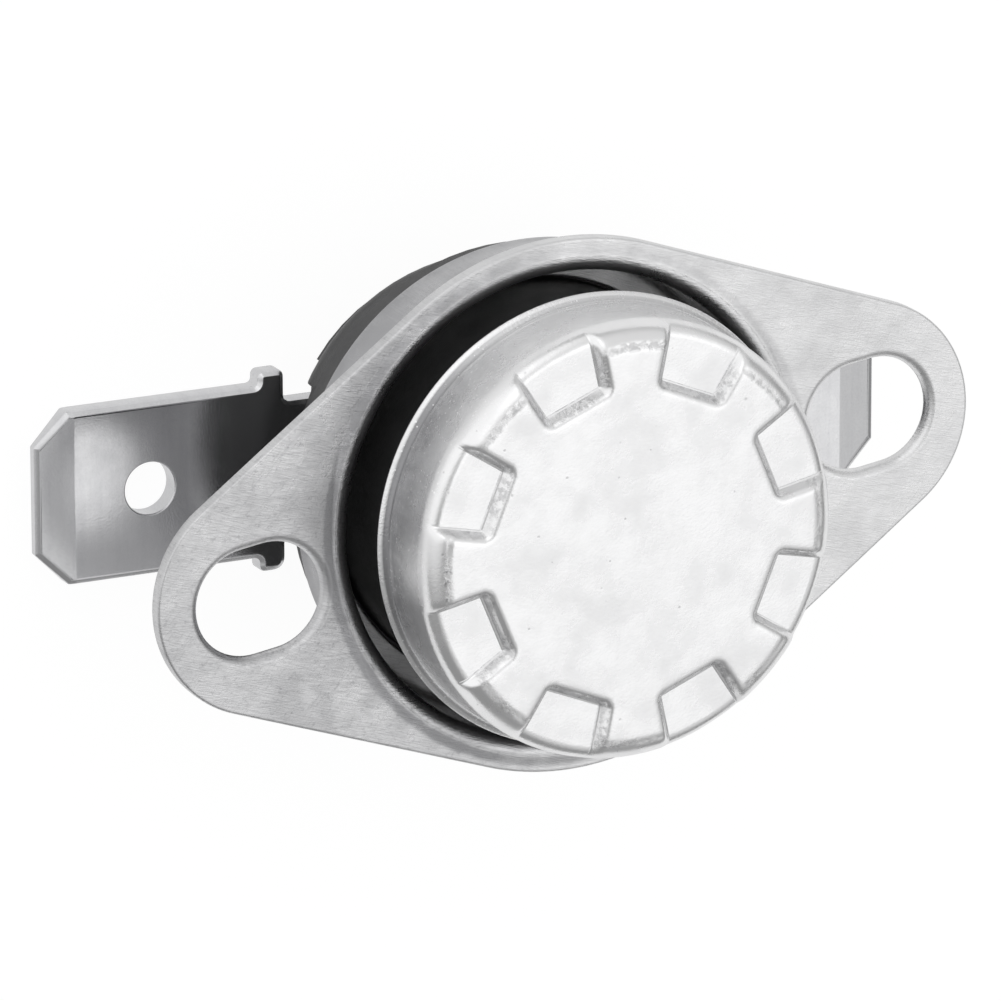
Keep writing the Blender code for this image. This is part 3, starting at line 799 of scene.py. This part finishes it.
def bladeFinish():
    material, tree, shader = newMaterial("tinnedBlade", 1.0)
    patches = place(tree, cloudy, Size=0.9, Detail=5.0, Low=0.36, High=0.68)
    grain = place(tree, cloudy, Size=0.07, Detail=4.0, Low=0.36, High=0.66)
    rolled = place(tree, scratches, Angle=98.8, Width=0.55, Length=8.0, Low=0.42, High=0.64)
    pits = place(tree, specks, Spacing=0.8, Reach=0.12)
    dull = product(tree, patches.outputs[0], 0.15)
    for mark, share in ((rolled, 0.22), (grain, 0.20)):
        dull = total(tree, dull, product(tree, mark.outputs[0], share))
    dull = larger(tree, dull, product(tree, pits.outputs[0], 0.8))
    linkFinish(
        tree, shader, blend(tree, blade["colour"], blade["dullColour"], dull),
        between(tree, patches.outputs[0], *blade["roughness"]),
        reliefNormal(tree, blade["relief"], grain.outputs[0]),
    )
    return material


bladeMaterial = bladeFinish()
for name, node, turn in (("bladeRight", "terminal_right", 0.0), ("bladeLeft", "terminal_left", math.pi)):
    made = makeBladeMesh(bodyTurn + turn)
    finishPiece(name, made, bladeMaterial, "body", node, 20.0)
print("blades made")


# A piece that keeps its solid's form, welded and shaded smooth
def weldedNode(node):
    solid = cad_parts[node]
    made = bmesh.new()
    made.from_mesh(solid.data)
    made.transform(solid.matrix_world)
    bmesh.ops.remove_doubles(made, verts=made.verts, dist=0.0005 * mm)
    flatDeg = 0.5
    bmesh.ops.dissolve_limit(
        made, angle_limit=math.radians(flatDeg), verts=made.verts, edges=made.edges,
    )
    return made


# Moulded base
moulding = {
    "colour": (0.022, 0.022, 0.023), "dustColour": (0.050, 0.050, 0.051),
    "roughness": (0.34, 0.50), "relief": (0.2, 0.02),  # strength, depth in mm
    "softEdge": 0.08,
}


def mouldingFinish():
    material, tree, shader = newMaterial("blackMoulding")
    patches = place(tree, cloudy, Size=2.5, Detail=5.0, Low=0.40, High=0.70)
    grain = place(tree, cloudy, Size=0.12, Detail=4.0, Low=0.35, High=0.65)
    dust = product(tree, patches.outputs[0], 0.5)
    soft = addNode(tree, "ShaderNodeBevel", {"Radius": moulding["softEdge"] * mm}, samples=6)
    linkFinish(
        tree, shader, blend(tree, moulding["colour"], moulding["dustColour"], dust),
        between(tree, patches.outputs[0], *moulding["roughness"]),
        reliefNormal(tree, moulding["relief"], grain.outputs[0], Normal=soft.outputs[0]),
    )
    return material


finishPiece("baseMoulding", weldedNode("base"), mouldingFinish(), "body", "base")
print("base made")


# Inner parts and rivets: colour, duller colour, metallic, lowest and highest roughness
plainFinishes = {
    "rivetMetal": ((0.78, 0.77, 0.74), (0.60, 0.59, 0.57), 1.0, 0.22, 0.36),
    "springBronze": ((0.80, 0.52, 0.30), (0.62, 0.38, 0.22), 1.0, 0.20, 0.34),
    "contactSilver": ((0.92, 0.91, 0.88), (0.70, 0.69, 0.67), 1.0, 0.14, 0.28),
    "brownPhenolic": ((0.20, 0.095, 0.05), (0.14, 0.07, 0.04), 0.0, 0.40, 0.58),
    "bimetalStrip": ((0.62, 0.59, 0.53), (0.48, 0.45, 0.40), 1.0, 0.24, 0.38),
    "whiteCeramic": ((0.85, 0.83, 0.78), (0.74, 0.71, 0.66), 0.0, 0.42, 0.60),
}


def plainFinish(name):
    colour, dullColour, metallic, low, high = plainFinishes[name]
    material, tree, shader = newMaterial(name, metallic)
    patches = place(tree, cloudy, Size=0.7, Detail=5.0, Low=0.38, High=0.66)
    grain = place(tree, cloudy, Size=0.08, Detail=3.0, Low=0.35, High=0.65)
    linkFinish(
        tree, shader, blend(tree, colour, dullColour, patches.outputs[0]),
        between(tree, patches.outputs[0], low, high),
        reliefNormal(tree, (0.2, 0.015), grain.outputs[0]),
    )
    return material


# The spring arm and the disc, welded and given meshes of their own
springs = {
    # name: node, finish, slot, height of the end that is held, share of the height kept
    "springArm": ("contact_arm", "springBronze", "spring_bronze", 3.35, 1.45 / 1.80),
    "dishedDisc": ("bimetal_disc", "bimetalStrip", "bimetal", 13.90, 0.30),
}
for name, (node, finish, slotName, held, kept) in springs.items():
    piece = finishPiece(name, weldedNode(node), plainFinish(finish), "body", node)
    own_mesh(piece)
print("springs made")

nodeFinishes = {
    "rivetMetal": ("rivet_right", "rivet_left"),
    "contactSilver": ("moving_contact", "fixed_contact"),
    "brownPhenolic": ("disc_guide",),
    "whiteCeramic": ("push_pin",),
    "springBronze": ("fixed_strip",),
}
for finish, nodes in nodeFinishes.items():
    material = bpy.data.materials.get(finish) or plainFinish(finish)
    for name in nodes:
        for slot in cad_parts[name].material_slots:
            slot.material = material
print("finishes placed")


# Floor, backdrop light and studio lamps
studio = {
    "floorSize": 4.0,
    "floorBelow": 0.02,  # mm under the part
    "floorColour": (0.62, 0.62, 0.62, 1.0), "floorRoughness": 0.9, "floorSpecular": 0.1,
    "floorGlow": (0.86, 0.60, 1.10),  # share seen by the camera, share in reflections, strength
    "skyBase": 0.29,
    # name: towards the glow, cosine where it starts, cosine where it is full, strength
    "skyGlows": {
        "front": ((0.42, -0.36, 0.83), 0.70, 0.97, 0.39),
        "side": ((-0.66, 0.60, 0.45), 0.45, 0.92, 0.72),
        "back": ((0.45, 0.52, 0.72), 0.55, 0.95, 0.45),
    },
    # name: towards the lamp, distance, width, height, watts
    "lamps": {
        "faceBox": ((0.30, -0.20, 0.93), 0.60, 0.34, 0.34, 0.12),
    },
}


def addFloor():
    made = bmesh.new()
    half = 0.5 * studio["floorSize"]
    corners = ((-half, -half), (half, -half), (half, half), (-half, half))
    made.faces.new([made.verts.new((x, y, 0.0)) for x, y in corners])
    mesh = bpy.data.meshes.new("floor")
    made.to_mesh(mesh)
    made.free()
    floor = bpy.data.objects.new("floor", mesh)
    floor.location.z = -studio["floorBelow"] * mm
    bpy.context.scene.collection.objects.link(floor)
    material, tree, shader = newMaterial("paleFloor")
    shader.inputs["Base Color"].default_value = studio["floorColour"]
    shader.inputs["Roughness"].default_value = studio["floorRoughness"]
    shader.inputs["Specular IOR Level"].default_value = studio["floorSpecular"]
    share, mirrored, strength = studio["floorGlow"]
    rays = addNode(tree, "ShaderNodeLightPath")
    looks = {"Color": (1.0, 1.0, 1.0, 1.0), "Strength": strength}
    glow = addNode(tree, "ShaderNodeEmission", looks)
    direct = product(tree, rays.outputs["Is Camera Ray"], share)
    seen = total(tree, direct, product(tree, rays.outputs["Is Glossy Ray"], mirrored))
    shaders = {0: seen, 1: shader.outputs[0], 2: glow.outputs[0]}
    mixed = addNode(tree, "ShaderNodeMixShader", shaders)
    tree.links.new(mixed.outputs[0], tree.nodes["Material Output"].inputs["Surface"])
    mesh.materials.append(material)


# The sky is white to the camera, and elsewhere brightest towards the softboxes that the metal shows
def addWorld():
    world = bpy.data.worlds.new("studioSky")
    world.use_nodes = True
    tree = world.node_tree
    sky = tree.nodes["Background"]
    sky.inputs["Color"].default_value = (1.0, 1.0, 1.0, 1.0)
    where = addNode(tree, "ShaderNodeTexCoord").outputs["Generated"]
    strength = studio["skyBase"]
    for way, start, full, amount in studio["skyGlows"].values():
        facing = vectorMath(tree, "DOT_PRODUCT", where, Vector(way).normalized())
        limits = {"From Min": start, "From Max": full, "To Max": amount}
        glow = addNode(
            tree, "ShaderNodeMapRange", {"Value": facing.outputs["Value"], **limits},
            interpolation_type="SMOOTHSTEP",
        )
        strength = total(tree, glow.outputs[0], strength)
    rays = addNode(tree, "ShaderNodeLightPath")
    seen = larger(tree, strength, rays.outputs["Is Camera Ray"])
    tree.links.new(seen, sky.inputs["Strength"])
    bpy.context.scene.world = world


def addLamps():
    for name, (way, distance, width, height, watts) in studio["lamps"].items():
        data = bpy.data.lights.new(name, "AREA")
        data.shape = "RECTANGLE"
        data.size = width
        data.size_y = height
        data.energy = watts
        lamp = bpy.data.objects.new(name, data)
        direction = Vector(way).normalized()
        lamp.location = direction * distance
        lamp.rotation_euler = direction.to_track_quat("Z", "Y").to_euler()
        bpy.context.scene.collection.objects.link(lamp)


addFloor()
addWorld()
addLamps()
bpy.context.scene.view_settings.view_transform = "Standard"
print("studio set")
